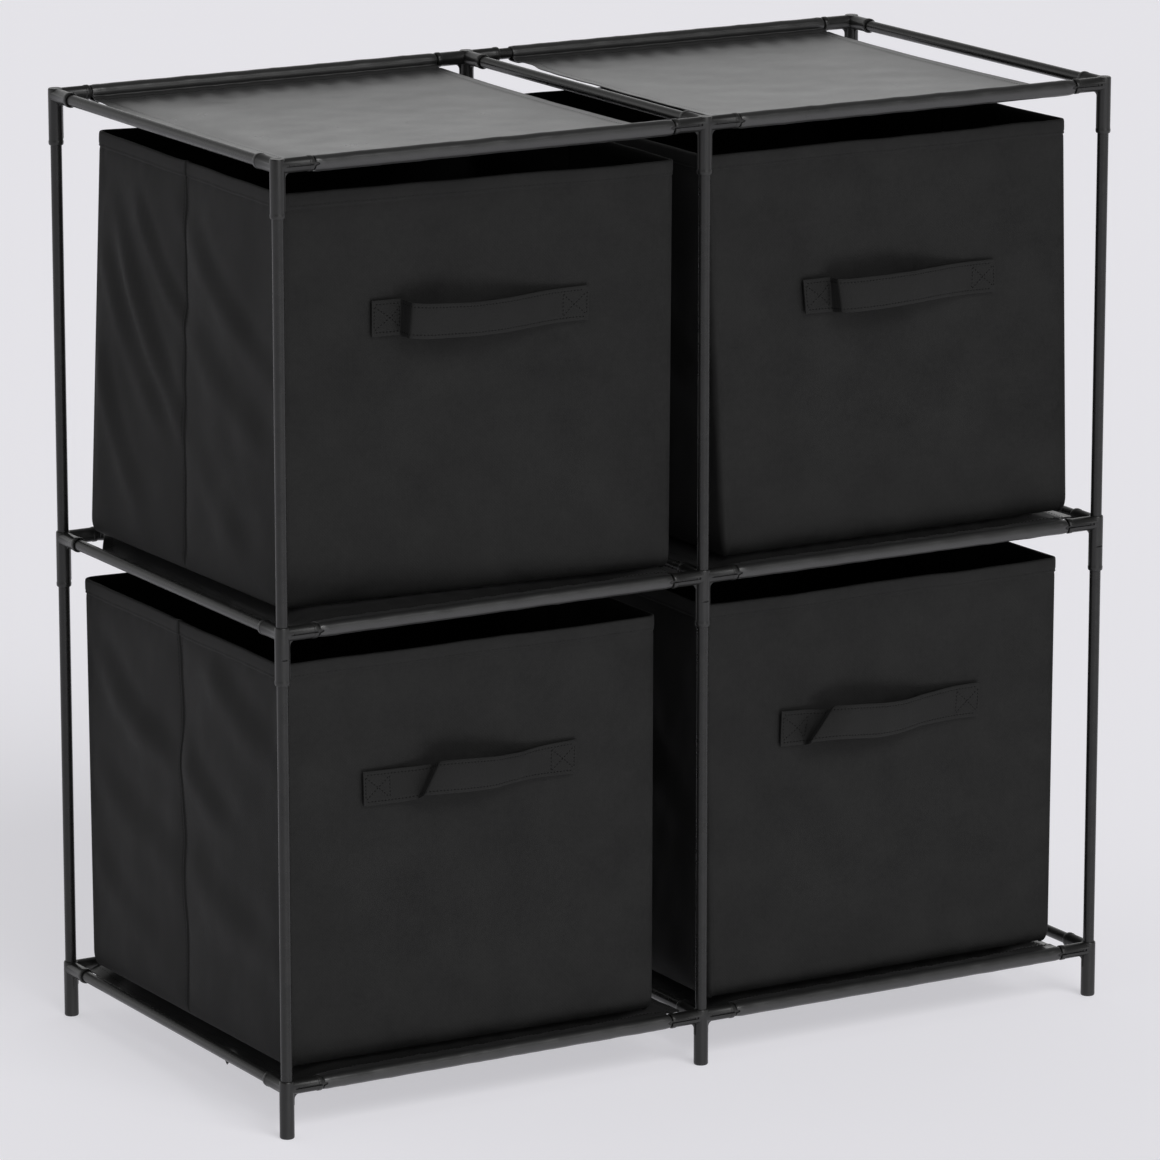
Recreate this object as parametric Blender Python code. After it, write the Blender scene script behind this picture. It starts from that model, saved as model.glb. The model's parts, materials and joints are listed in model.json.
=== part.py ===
"""Two by two open shelving unit of thin steel tubes, with four pull-out fabric boxes.

Metres, +Z up, feet on z = 0. The front faces -Y. Left is -X as seen from the front.
"""
import math

import bmesh
import bpy
from mathutils import Matrix, Vector

# ---------------------------------------------------------------- driving dimensions
BAY_PITCH = 0.320  # post axis to post axis across the width
DEPTH_PITCH = 0.320  # front post axis to back post axis
LEVEL_PITCH = 0.308  # rail level to rail level
FOOT_DROP = 0.0345  # lowest rail axis above the floor

SIDES = 12  # facets round every tube, socket and connector arm
TUBE_R = 0.0039  # across flats, outside of the steel tube
TUBE_WALL = 0.0006
SOCKET_R = 0.0042  # bore of a connector arm
HUB_R = 0.0050  # vertical body of a connector
ARM_R = 0.0049  # horizontal arms of a connector
COLLAR_R = 0.0052  # lip at the end of a horizontal arm
COLLAR_LEN = 0.0026
ARM_LEN = 0.025  # post axis to the end of a horizontal arm
SLEEVE_DROP = 0.034  # rail axis to the lower end of the vertical sleeve
HUB_RISE = 0.0050  # rail axis to the flat top of the connector
SOCKET_STOP = 0.0065  # post axis to the bottom of a horizontal socket
CAP_STOP = 0.0020  # rail axis to the socket bottom under a top connector's cap
FOOT_STOP = 0.022  # rail axis to the socket bottom inside a foot

POCKET_OUT = 0.0050  # outside of the sewn pocket round a rail
POCKET_IN = 0.0042
DECK_INSET = 0.0262  # post axis to the side edge of a deck

BOX_W = 0.280
BOX_D = 0.280
BOX_BOTTOM = 0.0055  # rail axis to the underside of a box
BOX_RIM = 0.2816  # rail axis to the rim of a box
BOX_WALL = 0.0025
BOX_FLOOR = 0.0030
BOX_CORNER = 0.007  # radius of the upright edges
BOX_FRONT = {"upper_left": 0.025, "upper_right": 0.021, "lower_left": 0.017, "lower_right": 0.017}
HEM_TALL = 0.010  # folded hem band round the rim
HEM_THICK = 0.0005
BOX_SHIFT = {"upper_left": 0.002, "upper_right": 0.005, "lower_left": -0.009, "lower_right": -0.004}
BOX_SLANT = {"upper_left": -0.085, "upper_right": 0.0, "lower_left": -0.034, "lower_right": -0.034}
# BOX_FRONT is the front rail axis to the middle of a box's front, and BOX_SHIFT its place off the
# middle of its bay. The soft boxes stand a little askew: BOX_SLANT is how far a front and back run
# along +Y for each metre along +X.

STRAP_WIDE = 0.023  # height of the webbing on the box front
STRAP_THICK = 0.0016
STRAP_SPAN = 0.157  # end to end along the box front
STRAP_BELOW_RIM = 0.086  # rim to the middle of the webbing
STRAP_BULGE = 0.0185  # how far the loop stands off the box front
STRAP_GAP = 0.0003

COLUMNS = {"left": -1, "middle": 0, "right": 1}
LEVELS = {"bottom": 0, "mid": 1, "top": 2}
ROWS = {"front": -1, "back": 1}
BAYS = {"left": -0.5, "right": 0.5}


def level_z(level):
    return FOOT_DROP + LEVELS[level] * LEVEL_PITCH


def column_x(column):
    return COLUMNS[column] * BAY_PITCH


def row_y(row):
    return ROWS[row] * DEPTH_PITCH / 2


# ---------------------------------------------------------------- clean start
for old in list(bpy.data.objects):
    bpy.data.objects.remove(old, do_unlink=True)

parts = bpy.data.collections.new("cube_storage_unit")
bpy.context.scene.collection.children.link(parts)
cutters = bpy.data.collections.new("cutters")
bpy.context.scene.collection.children.link(cutters)


# ---------------------------------------------------------------- materials
def material(name, colour, roughness, metallic):
    mat = bpy.data.materials.new(name)
    mat.use_nodes = True
    shader = mat.node_tree.nodes["Principled BSDF"]
    shader.inputs["Base Color"].default_value = (*colour, 1.0)
    shader.inputs["Roughness"].default_value = roughness
    shader.inputs["Metallic"].default_value = metallic
    mat.diffuse_color = (*colour, 1.0)
    return mat


STEEL = material("tube_steel", (0.050, 0.050, 0.053), 0.42, 0.0)
PLASTIC = material("connector_plastic", (0.046, 0.046, 0.049), 0.50, 0.0)
DECK_CLOTH = material("deck_fabric", (0.062, 0.062, 0.063), 0.85, 0.0)
BOX_CLOTH = material("box_fabric", (0.026, 0.026, 0.027), 0.90, 0.0)
WEBBING = material("strap_webbing", (0.028, 0.028, 0.029), 0.85, 0.0)


# ---------------------------------------------------------------- building blocks
def add_object(name, bm, mat, collection=None, smooth=False):
    bmesh.ops.recalc_face_normals(bm, faces=bm.faces)
    mesh = bpy.data.meshes.new(name)
    bm.to_mesh(mesh)
    bm.free()
    if smooth:
        mesh.shade_smooth()
        mesh.set_sharp_from_angle(angle=math.radians(40))
    obj = bpy.data.objects.new(name, mesh)
    if mat is not None:
        mesh.materials.append(mat)
    (collection or parts).objects.link(obj)
    return obj


def ring_points(radius, sides):
    """Corners of a regular polygon with flats facing both axes, measured across flats."""
    corner = radius / math.cos(math.pi / sides)
    step = 2 * math.pi / sides
    return [(corner * math.cos((k + 0.5) * step), corner * math.sin((k + 0.5) * step)) for k in range(sides)]


def axis_frame(axis):
    """Turns local +Z onto the asked axis, keeping the flats square to the other two."""
    if axis == "X":
        return Matrix(((0, 0, 1), (1, 0, 0), (0, 1, 0)))
    if axis == "Y":
        return Matrix(((0, 1, 0), (0, 0, 1), (1, 0, 0)))
    return Matrix.Identity(3)


def tube(name, axis, start, length, mat):
    """A hollow straight tube, open at both ends."""
    bm = bmesh.new()
    turn = axis_frame(axis)
    loops = []
    for radius, height in (
        (TUBE_R, 0.0),
        (TUBE_R, length),
        (TUBE_R - TUBE_WALL, length),
        (TUBE_R - TUBE_WALL, 0.0),
    ):
        pts = ring_points(radius, SIDES)
        loops.append([bm.verts.new(turn @ Vector((x, y, height))) for x, y in pts])
    for i in range(4):
        a = loops[i]
        b = loops[(i + 1) % 4]
        for k in range(SIDES):
            n = (k + 1) % SIDES
            bm.faces.new((a[k], a[n], b[n], b[k]))
    obj = add_object(name, bm, mat, smooth=True)
    obj.location = start
    return obj


def rod_mesh(axis, radius, low, high):
    """A solid faceted rod along an axis, from low to high."""
    bm = bmesh.new()
    turn = axis_frame(axis)
    bottom = [bm.verts.new(turn @ Vector((x, y, low))) for x, y in ring_points(radius, SIDES)]
    top = [bm.verts.new(turn @ Vector((x, y, high))) for x, y in ring_points(radius, SIDES)]
    for k in range(SIDES):
        n = (k + 1) % SIDES
        bm.faces.new((bottom[k], bottom[n], top[n], top[k]))
    bm.faces.new(list(reversed(bottom)))
    bm.faces.new(top)
    return bm


def combine(obj, tool, operation):
    """Applies one exact Boolean and bakes the result into the object."""
    mod = obj.modifiers.new("cut", "BOOLEAN")
    mod.operation = operation
    mod.solver = "EXACT"
    mod.object = tool
    graph = bpy.context.evaluated_depsgraph_get()
    baked = bpy.data.meshes.new_from_object(obj.evaluated_get(graph))
    obj.modifiers.clear()
    old = obj.data
    obj.data = baked
    bpy.data.meshes.remove(old)


def tool_object(name, bm):
    obj = add_object(name, bm, None, collection=cutters)
    obj.hide_render = True
    obj.display_type = "WIRE"
    return obj


def connector(name, arms, level, place):
    """A push-fit connector: one vertical sleeve and a short socket arm for each rail."""
    drop = FOOT_DROP if level == "bottom" else SLEEVE_DROP
    body = add_object(name, rod_mesh("Z", HUB_R, -drop, HUB_RISE), PLASTIC)
    adds = []
    cuts = []
    for axis, sign in arms:
        near = 0.0
        far = sign * ARM_LEN
        lip = sign * (ARM_LEN - COLLAR_LEN)
        adds.append((axis, ARM_R, min(near, far), max(near, far)))
        adds.append((axis, COLLAR_R, min(lip, far), max(lip, far)))
        stop = sign * SOCKET_STOP
        mouth = sign * (ARM_LEN + 0.004)
        cuts.append((axis, SOCKET_R, min(stop, mouth), max(stop, mouth)))
    if level == "top":
        cuts.append(("Z", SOCKET_R, -drop - 0.004, CAP_STOP))
    elif level == "mid":
        cuts.append(("Z", SOCKET_R, -drop - 0.004, HUB_RISE + 0.004))
    else:
        cuts.append(("Z", SOCKET_R, -FOOT_STOP, HUB_RISE + 0.004))
    for i, (axis, radius, low, high) in enumerate(adds):
        tool = tool_object(f"{name}_arm_{i}", rod_mesh(axis, radius, low, high))
        combine(body, tool, "UNION")
    for i, (axis, radius, low, high) in enumerate(cuts):
        tool = tool_object(f"{name}_bore_{i}", rod_mesh(axis, radius, low, high))
        combine(body, tool, "DIFFERENCE")
    bm = bmesh.new()
    bm.from_mesh(body.data)
    bmesh.ops.remove_doubles(bm, verts=bm.verts, dist=0.00001)
    bmesh.ops.dissolve_limit(bm, angle_limit=0.001, verts=bm.verts, edges=bm.edges)
    bmesh.ops.triangulate(bm, faces=bm.faces)
    bm.to_mesh(body.data)
    bm.free()
    body.data.shade_smooth()
    body.data.set_sharp_from_angle(angle=math.radians(40))
    body.data.materials.clear()
    body.data.materials.append(PLASTIC)
    body.location = place
    return body


# ---------------------------------------------------------------- steel frame
for column in COLUMNS:
    for row in ROWS:
        low = level_z("bottom") - FOOT_STOP + 0.0005
        high = level_z("top") + CAP_STOP - 0.0005
        tube(f"post_{row}_{column}", "Z", (column_x(column), row_y(row), low), high - low, STEEL)

for level in LEVELS:
    for row in ROWS:
        for bay, column in (("left", "left"), ("right", "middle")):
            start = column_x(column) + SOCKET_STOP + 0.0005
            length = BAY_PITCH - 2 * (SOCKET_STOP + 0.0005)
            tube(f"rail_{row}_{bay}_{level}", "X", (start, row_y(row), level_z(level)), length, STEEL)
    for column in COLUMNS:
        start = row_y("front") + SOCKET_STOP + 0.0005
        length = DEPTH_PITCH - 2 * (SOCKET_STOP + 0.0005)
        tube(f"side_rail_{column}_{level}", "Y", (column_x(column), start, level_z(level)), length, STEEL)

for level in LEVELS:
    for column in COLUMNS:
        for row in ROWS:
            arms = [("Y", -ROWS[row])]
            if column != "right":
                arms.append(("X", 1))
            if column != "left":
                arms.append(("X", -1))
            place = (column_x(column), row_y(row), level_z(level))
            connector(f"connector_{row}_{column}_{level}", arms, level, place)


# ---------------------------------------------------------------- fabric decks
def deck(name, bay, level):
    """A fabric sheet with a sewn pocket round the front rail and another round the back rail.

    On the top level the sheet lies under its pockets. On the levels that carry a box it is
    turned over, so that the sheet lies level with the tops of the rails.
    """
    flip = -1 if level == "top" else 1
    bm = bmesh.new()
    half = BAY_PITCH / 2 - DECK_INSET
    outer = [Vector((0, y, z * flip)) for y, z in ring_points(POCKET_OUT, SIDES)]
    inner = [Vector((0, y, z * flip)) for y, z in ring_points(POCKET_IN, SIDES)]
    joint = 1  # the flat that the sheet leaves from, next to the uppermost one
    grid = {}
    for side, x in (("a", -half), ("b", half)):
        for row, sense in (("front", 1), ("back", -1)):
            base = Vector((x, row_y(row), 0))
            for k in range(SIDES):
                out = Vector((0, outer[k].y * sense, outer[k].z))
                into = Vector((0, inner[k].y * sense, inner[k].z))
                grid[side, row, "out", k] = bm.verts.new(base + out)
                grid[side, row, "in", k] = bm.verts.new(base + into)
    for row in ROWS:
        for k in range(SIDES):
            n = (k + 1) % SIDES
            for side in ("a", "b"):
                rim = (("out", k), ("out", n), ("in", n), ("in", k))
                bm.faces.new([grid[side, row, s, i] for s, i in rim])
            bm.faces.new([grid[s, row, "in", i] for s, i in (("a", k), ("a", n), ("b", n), ("b", k))])
            if k != joint:
                bm.faces.new([grid[s, row, "out", i] for s, i in (("a", k), ("a", n), ("b", n), ("b", k))])
    sheet = (("a", "front"), ("b", "front"), ("b", "back"), ("a", "back"))
    for k in (joint, joint + 1):
        bm.faces.new([grid[s, r, "out", k] for s, r in sheet])
    for side in ("a", "b"):
        corners = (("front", joint), ("front", joint + 1), ("back", joint + 1), ("back", joint))
        bm.faces.new([grid[side, r, "out", k] for r, k in corners])
    obj = add_object(name, bm, DECK_CLOTH)
    obj.location = (BAYS[bay] * BAY_PITCH, 0, level_z(level))
    return obj


for level in LEVELS:
    for bay in BAYS:
        deck(f"deck_{bay}_{level}", bay, level)


# ---------------------------------------------------------------- fabric boxes
def rounded_outline(wide, deep, radius, steps=3):
    """Counter-clockwise outline of a rectangle with round corners, centred on the origin."""
    pts = []
    for cx, cy, start in ((1, 1, 0), (-1, 1, 90), (-1, -1, 180), (1, -1, 270)):
        for i in range(steps + 1):
            angle = math.radians(start + 90 * i / steps)
            x = cx * (wide / 2 - radius) + radius * math.cos(angle)
            y = cy * (deep / 2 - radius) + radius * math.sin(angle)
            pts.append((x, y))
    return pts


def box_shell(name, centre, slant):
    """An open-topped fabric box with stiff walls, a stiff base and a folded hem round the rim."""
    tall = BOX_RIM - BOX_BOTTOM
    body = 2 * HEM_THICK
    sections = (
        (BOX_W - body - 0.003, BOX_D - body - 0.003, BOX_CORNER - 0.0015, 0.0),
        (BOX_W - body, BOX_D - body, BOX_CORNER, 0.0015),
        (BOX_W - body, BOX_D - body, BOX_CORNER, tall - HEM_TALL - 0.0005),
        (BOX_W, BOX_D, BOX_CORNER, tall - HEM_TALL),
        (BOX_W, BOX_D, BOX_CORNER, tall - 0.0006),
        (BOX_W - 0.0012, BOX_D - 0.0012, BOX_CORNER - 0.0006, tall),
        (BOX_W - 2 * BOX_WALL, BOX_D - 2 * BOX_WALL, BOX_CORNER - BOX_WALL, tall),
        (BOX_W - 2 * BOX_WALL, BOX_D - 2 * BOX_WALL, BOX_CORNER - BOX_WALL, BOX_FLOOR),
    )
    bm = bmesh.new()
    loops = []
    for wide, deep, radius, z in sections:
        outline = rounded_outline(wide, deep, radius)
        loops.append([bm.verts.new((x, y + slant * x, z)) for x, y in outline])
    for a, b in zip(loops, loops[1:]):
        for k in range(len(a)):
            n = (k + 1) % len(a)
            bm.faces.new((a[k], a[n], b[n], b[k]))
    bm.faces.new(list(reversed(loops[0])))
    bm.faces.new(loops[-1])
    obj = add_object(name, bm, BOX_CLOTH)
    obj.location = centre
    return obj


def strap_path():
    """Centre line of the strap in plan: distance along the front, and distance off it."""
    half = STRAP_SPAN / 2
    flat = STRAP_GAP + STRAP_THICK / 2
    right = []
    shape = (
        (1.00, 0.00),
        (0.80, 0.00),
        (0.72, 0.05),
        (0.64, 0.24),
        (0.55, 0.52),
        (0.44, 0.76),
        (0.30, 0.92),
        (0.15, 0.99),
    )
    for along, off in shape:
        right.append((half * along, flat + off * (STRAP_BULGE - flat - STRAP_THICK / 2)))
    left = [(-x, v) for x, v in right]
    return left + list(reversed(right))


def strap_handle(name, place, slant):
    """A webbing strap sewn flat at both ends, with a finger loop standing off between them."""
    path = [Vector((x, -v, 0)) for x, v in strap_path()]
    bm = bmesh.new()
    sections = []
    for i, point in enumerate(path):
        before = path[max(i - 1, 0)]
        after = path[min(i + 1, len(path) - 1)]
        along = (after - before).normalized()
        off = Vector((along.y, -along.x, 0))
        quad = []
        for side, up in ((1, -1), (1, 1), (-1, 1), (-1, -1)):
            corner = point + off * (side * STRAP_THICK / 2)
            quad.append(bm.verts.new(corner + Vector((0, 0, up * STRAP_WIDE / 2))))
        sections.append(quad)
    for a, b in zip(sections, sections[1:]):
        for k in range(4):
            n = (k + 1) % 4
            bm.faces.new((a[k], a[n], b[n], b[k]))
    bm.faces.new(sections[0])
    bm.faces.new(list(reversed(sections[-1])))
    obj = add_object(name, bm, WEBBING)
    obj.location = place
    obj.rotation_euler = (0, 0, math.atan(slant))
    return obj


for level, storey in (("mid", "upper"), ("bottom", "lower")):
    for bay in BAYS:
        spot = f"{storey}_{bay}"
        x = BAYS[bay] * BAY_PITCH + BOX_SHIFT[spot]
        front = row_y("front") + BOX_FRONT[spot]
        box_place = (x, front + BOX_D / 2, level_z(level) + BOX_BOTTOM)
        box_shell(f"box_{spot}", box_place, BOX_SLANT[spot])
        handle_z = level_z(level) + BOX_RIM - STRAP_BELOW_RIM
        strap_handle(f"handle_{spot}", (x, front + HEM_THICK, handle_z), BOX_SLANT[spot])
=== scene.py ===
"""Looks of a two by two shelving unit of thin black steel tubes with four fabric boxes.

Metres, +Z up, feet on z = 0, front -Y, left -X. Every place is read from the frame's nodes.
"""
import itertools
import json
import math

import bmesh
import bpy
import numpy as np
from mathutils import Matrix, Vector

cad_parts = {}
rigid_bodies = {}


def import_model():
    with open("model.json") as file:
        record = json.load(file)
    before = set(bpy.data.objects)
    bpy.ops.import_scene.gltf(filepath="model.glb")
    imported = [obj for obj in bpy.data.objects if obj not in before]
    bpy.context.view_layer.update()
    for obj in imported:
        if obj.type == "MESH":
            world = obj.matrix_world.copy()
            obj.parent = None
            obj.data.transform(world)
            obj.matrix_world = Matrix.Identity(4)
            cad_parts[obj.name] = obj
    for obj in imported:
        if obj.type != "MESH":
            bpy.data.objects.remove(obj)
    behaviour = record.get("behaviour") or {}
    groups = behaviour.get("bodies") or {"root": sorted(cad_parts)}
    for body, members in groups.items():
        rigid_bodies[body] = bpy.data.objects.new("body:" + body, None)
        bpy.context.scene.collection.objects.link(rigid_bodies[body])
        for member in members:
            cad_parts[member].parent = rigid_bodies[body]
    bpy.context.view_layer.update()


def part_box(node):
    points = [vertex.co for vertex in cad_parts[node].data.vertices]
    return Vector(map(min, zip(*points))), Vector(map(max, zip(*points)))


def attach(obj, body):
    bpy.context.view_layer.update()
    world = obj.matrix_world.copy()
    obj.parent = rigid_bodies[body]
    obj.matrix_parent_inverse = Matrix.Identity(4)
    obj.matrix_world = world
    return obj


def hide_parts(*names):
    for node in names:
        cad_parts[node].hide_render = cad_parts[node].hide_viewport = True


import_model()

MM = 0.001
COLUMNS = ("left", "middle", "right")
ROWS = ("front", "back")
LEVELS = ("bottom", "mid", "top")
BAYS = ("left", "right")


def centre(node):
    low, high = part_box(node)
    return (low + high) / 2


COLUMN_X = {column: centre(f"post_front_{column}").x for column in COLUMNS}
ROW_Y = {row: centre(f"post_{row}_left").y for row in ROWS}
LEVEL_Z = {level: centre(f"rail_front_left_{level}").z for level in LEVELS}

TUBE_R = 3.9 * MM
TUBE_IN = 3.3 * MM
TUBE_SIDES = 40


# -------------------- materials
def adder(tree):
    """A short way to add a node to a tree, with its inputs by name (or i0, i1) and its settings."""

    def add(kind, **inputs):
        node = tree.nodes.new(f"ShaderNode{kind}")
        for key, value in inputs.items():
            if key[0] == "i" and key[1:].isdigit():
                target = node.inputs[int(key[1:])]
            elif key.replace("_", " ") in node.inputs:
                target = node.inputs[key.replace("_", " ")]
            else:
                setattr(node, key, value)
                continue
            if isinstance(value, bpy.types.NodeSocket):
                tree.links.new(value, target)
            else:
                target.default_value = value
        return node

    return add


def material(name, roughness, specular, **constants):
    """A new material, and short ways to add its nodes and to link them to its shader."""
    mat = bpy.data.materials.new(name)
    mat.use_nodes = True
    shader = mat.node_tree.nodes["Principled BSDF"]
    shader.inputs["Roughness"].default_value = roughness
    shader.inputs["Specular IOR Level"].default_value = specular
    for key, value in constants.items():
        shader.inputs[key.replace("_", " ")].default_value = value

    def link(socket, name_of_input):
        mat.node_tree.links.new(socket, shader.inputs[name_of_input])

    return mat, adder(mat.node_tree), link


def ramp(add, value, low, high, to_low=0.0, to_high=1.0, **settings):
    bounds = {"From_Min": low, "From_Max": high, "To_Min": to_low, "To_Max": to_high}
    return add("MapRange", Value=value, **bounds, **settings).outputs["Result"]


def noise(add, place, scale, detail, rough=0.5, bend=0.0):
    shape = {"Scale": scale, "Detail": detail, "Roughness": rough, "Distortion": bend}
    return add("TexNoise", Vector=place, **shape).outputs[0]


def maths(add, operation, *terms):
    inputs = {f"i{k}": term for k, term in enumerate(terms)}
    return add("Math", operation=operation, **inputs).outputs[0]


def bump(add, strength, distance, height, below=None):
    under = {} if below is None else {"Normal": below}
    return add("Bump", Strength=strength, Distance=distance, Height=height, **under).outputs[0]


def blend(add, factor, dark, light):
    """A colour between two colours or colour sockets, by a factor socket."""
    node = add("Mix", data_type="RGBA")
    links = node.id_data.links
    links.new(factor, node.inputs[0])
    ends = [socket for socket in node.inputs if socket.type == "RGBA"]
    for socket, colour in zip(ends, (dark, light)):
        if isinstance(colour, bpy.types.NodeSocket):
            links.new(colour, socket)
        else:
            socket.default_value = (*colour, 1)
    return next(socket for socket in node.outputs if socket.type == "RGBA")


def scaled(colour, amount):
    return tuple(c * amount for c in colour)


def hard_finish(name, colour, rough, specular, grain, depth):
    """Powder coat or moulded plastic: fine orange peel, uneven gloss, paler rubbed edges."""
    mat, add, link = material(name, rough, specular)
    place = add("TexCoord").outputs["Object"]
    cloud = noise(add, place, 38.0, 4.0, 0.6)
    tint = blend(add, ramp(add, cloud, 0.3, 0.7), scaled(colour, 0.86), scaled(colour, 1.14))
    edge = ramp(add, add("NewGeometry").outputs["Pointiness"], 0.505, 0.56)
    rub = ramp(add, noise(add, place, 210.0, 2.0), 0.35, 0.75, 0.05, 0.5)
    link(blend(add, maths(add, "MULTIPLY", edge, rub), tint, scaled(colour, 1.9)), "Base Color")
    link(ramp(add, cloud, 0.3, 0.7, rough - 0.05, rough + 0.06), "Roughness")
    link(bump(add, depth, 0.12 * MM, noise(add, place, grain, 3.0, 0.55)), "Normal")
    return mat


def nonwoven(name, colour, rough, specular, sheen=0.0, relief=1.0, mottling=1.0):
    """Spun-bonded cloth: a lattice of bonded dots, loose fibres and cloudy density."""
    fuzz = {"Sheen_Weight": sheen, "Sheen_Roughness": 0.45, "Sheen_Tint": (0.8, 0.8, 0.82, 1)}
    mat, add, link = material(name, rough, specular, **fuzz)
    flat = add("UVMap", uv_map="cloth").outputs[0]
    place = add("TexCoord").outputs["Object"]
    turned = add("Mapping", Vector=flat, Rotation=(0, 0, math.radians(45)), Scale=(620, 620, 620))
    dots = add("TexVoronoi", Vector=turned.outputs[0], Scale=1.0, Randomness=0.12)
    dot = ramp(add, dots.outputs["Distance"], 0.16, 0.34)
    strand = add("Mapping", Vector=flat, Scale=(420, 90, 1)).outputs[0]
    streak = noise(add, strand, 1.0, 5.0, 0.65)
    cloud = noise(add, place, 26.0, 6.0, 0.62)
    speck = noise(add, place, 330.0, 3.0, 0.6)
    mottle = maths(add, "MULTIPLY_ADD", speck, 0.55, cloud)
    mottle = maths(add, "MULTIPLY_ADD", streak, 0.3, mottle)
    dark, light = scaled(colour, 1 - 0.30 * mottling), scaled(colour, 1 + 0.34 * mottling)
    link(blend(add, ramp(add, mottle, 0.66, 1.2), dark, light), "Base Color")
    gloss = 0.05 * mottling
    link(ramp(add, mottle, 0.66, 1.2, rough - gloss, rough + gloss), "Roughness")
    fibres = bump(add, 0.35 * relief, 0.10 * MM, noise(add, place, 1500.0, 4.0, 0.7, 0.6))
    weave = bump(add, 0.45 * relief, 0.14 * MM, dot, fibres)
    link(bump(add, 0.5 * relief, 0.5 * MM, cloud, weave), "Normal")
    return mat


def webbing_finish(name, colour):
    """Woven tape: two crossing diagonal ribs and soft worn edges."""
    mat, add, link = material(name, 0.72, 0.20, Sheen_Weight=0.03, Sheen_Roughness=0.4)
    flat = add("UVMap", uv_map="cloth").outputs[0]
    place = add("TexCoord").outputs["Object"]
    split = add("SeparateXYZ", Vector=flat).outputs
    along = maths(add, "MULTIPLY", split[0], 2 * math.pi / (1.5 * MM))
    across = maths(add, "MULTIPLY", split[1], 2 * math.pi / (1.1 * MM))
    ribs = [maths(add, "SINE", maths(add, kind, along, across)) for kind in ("ADD", "SUBTRACT")]
    weave = maths(add, "MAXIMUM", *ribs)
    mottle = maths(add, "MULTIPLY_ADD", weave, 0.12, noise(add, place, 60.0, 5.0, 0.6))
    dark, light = scaled(colour, 0.74), scaled(colour, 1.25)
    link(blend(add, ramp(add, mottle, 0.3, 0.75), dark, light), "Base Color")
    link(ramp(add, mottle, 0.3, 0.75, 0.64, 0.78), "Roughness")
    fibres = bump(add, 0.3, 0.08 * MM, noise(add, place, 1800.0, 3.0, 0.7))
    link(bump(add, 0.5, 0.16 * MM, weave, fibres), "Normal")
    return mat


def thread_finish(name, colour):
    mat, add, link = material(name, 0.7, 0.08)
    place = add("TexCoord").outputs["Object"]
    shade = ramp(add, noise(add, place, 90.0, 3.0), 0.3, 0.7)
    link(blend(add, shade, scaled(colour, 0.8), scaled(colour, 1.25)), "Base Color")
    link(bump(add, 0.4, 0.08 * MM, noise(add, place, 2600.0, 2.0)), "Normal")
    return mat


STEEL = hard_finish("powder_coat", (0.0085, 0.0085, 0.0083), 0.27, 0.38, 1500.0, 0.28)
PLASTIC = hard_finish("moulded_plastic", (0.0095, 0.0095, 0.0093), 0.32, 0.42, 2300.0, 0.22)
DECK_BLACK = (0.0105, 0.0105, 0.0104)
DECK_LOOK = {"sheen": 0.06, "relief": 0.32, "mottling": 0.55}
DECK_CLOTH = nonwoven("deck_nonwoven", DECK_BLACK, 0.30, 0.76, **DECK_LOOK)
BOX_BLACK = (0.0083, 0.0083, 0.0081)
BOX_LOOK = {"sheen": 0.02, "relief": 0.8, "mottling": 1.9}
BOX_CLOTH = nonwoven("box_nonwoven", BOX_BLACK, 0.72, 0.19, **BOX_LOOK)
# The lining is darker than the outside cloth: painted shade inside the boxes.
SHADED_LINING = nonwoven("box_lining_painted_shade", (0.0035, 0.0035, 0.0035), 0.85, 0.08)
WEBBING = webbing_finish("strap_weave", (0.0088, 0.0088, 0.0086))
# The thread is black, and made darker than the cloth as painted shade, so that seams read as dark
# lines.
THREAD = thread_finish("sewing_thread", (0.0025, 0.0025, 0.0025))


# -------------------- mesh helpers
def placed(name, data):
    obj = bpy.data.objects.new(name, data)
    bpy.context.scene.collection.objects.link(obj)
    return obj


def mesh_piece(name, verts, faces, mats, uv=None, slots=None, sharp=None):
    """An object from points and faces. uv holds cloth coordinates in metres, one per point."""
    mesh = bpy.data.meshes.new(name)
    mesh.from_pydata([tuple(v) for v in verts], [], [tuple(f) for f in faces])
    for mat in mats:
        mesh.materials.append(mat)
    if slots is not None:
        mesh.polygons.foreach_set("material_index", np.asarray(slots, np.int32))
    if uv is not None:
        layer = mesh.uv_layers.new(name="cloth")
        corners = np.zeros(len(mesh.loops), np.int32)
        mesh.loops.foreach_get("vertex_index", corners)
        layer.data.foreach_set("uv", np.asarray(uv, np.float32)[corners].ravel())
    mesh.shade_smooth()
    if sharp is not None:
        mesh.set_sharp_from_angle(angle=math.radians(sharp))
    mesh.update()
    return placed(name, mesh)


def grid_faces(across, down, wrap=False, base=0, flip=False):
    """Quads of a grid whose point (i, j) is base + j * across + i."""
    faces = []
    for j in range(down - 1):
        row = base + j * across
        for i in range(across if wrap else across - 1):
            n = (i + 1) % across
            quad = (row + i, row + n, row + across + n, row + across + i)
            faces.append(quad[::-1] if flip else quad)
    return faces


def face_out(mesh):
    bm = bmesh.new()
    bm.from_mesh(mesh)
    bmesh.ops.recalc_face_normals(bm, faces=bm.faces)
    bm.to_mesh(mesh)
    bm.free()


def turn_to(axis, sign=1):
    """Local +Z onto an axis of the unit."""
    toward = {"X": Vector((sign, 0, 0)), "Y": Vector((0, sign, 0)), "Z": Vector((0, 0, sign))}[axis]
    return toward.to_track_quat("Z", "Y").to_matrix()


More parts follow.
